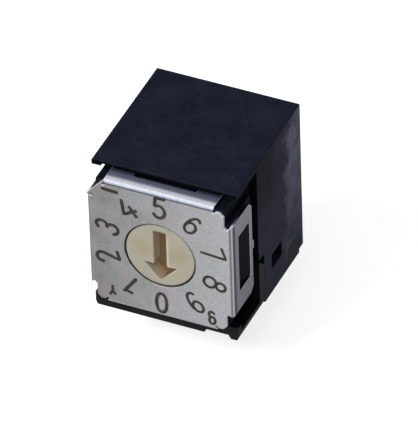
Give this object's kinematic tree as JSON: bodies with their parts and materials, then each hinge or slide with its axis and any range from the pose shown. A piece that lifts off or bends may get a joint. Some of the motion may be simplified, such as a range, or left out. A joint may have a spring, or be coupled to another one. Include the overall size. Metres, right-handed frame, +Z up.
{
  "type": "rotary dip switch",
  "caption": "Right-angle rotary coded switch for a circuit board: black hood and base, clipped metal cover with a numbered dial, and a screwdriver-set rotor with an arrow slot.",
  "frame": {"origin": "middle of the terminal grid on the board's surface, which is the plane of the base's feet", "axes": "+X to the right seen from the dial, +Y away from the dial, +Z up from the board"},
  "size_m": [0.01, 0.0111, 0.0149],
  "materials": {
    "cover_steel": "fine matt stamped stainless sheet with etched dark numerals",
    "housing_black": "black moulded polyester",
    "hood_black": "satin black moulding",
    "base_black": "satin black moulding",
    "rotor_cream": "cream moulded polyester",
    "seal_rubber": "black rubber",
    "spring_steel": "rolled spring strip",
    "disc_laminate": "glass-cloth laminate",
    "contact_gold": "gold-plated copper alloy",
    "potting_resin": "cured potting resin",
    "terminal_tin": "tin-plated brass strip"
  },
  "bodies": {
    "case": {"cover_plate": "cover_steel", "switch_housing": "housing_black", "rotor_seal": "seal_rubber", "detent_spring": "spring_steel", "contact_carrier": "housing_black", "potting": "potting_resin", "hood": "hood_black", "base": "base_black", "terminal_bit_1": "terminal_tin", "terminal_common_upper": "terminal_tin", "terminal_bit_2": "terminal_tin", "terminal_bit_4": "terminal_tin", "terminal_common_lower": "terminal_tin", "terminal_bit_8": "terminal_tin", "wiper_bit_1": "contact_gold", "wiper_common_upper": "contact_gold", "wiper_bit_2": "contact_gold", "wiper_bit_4": "contact_gold", "wiper_common_lower": "contact_gold", "wiper_bit_8": "contact_gold"},
    "rotor": {"rotor": "rotor_cream", "code_disc": "disc_laminate", "code_tracks": "contact_gold"}
  },
  "joints": [
    {"name": "rotor_turn", "type": "hinge", "parent": "case", "child": "rotor", "pos_m": [0, -0.00772, 0.006], "axis": [0, 1, 0], "continuous": true, "deforming": ["detent_spring"]}
  ]
}
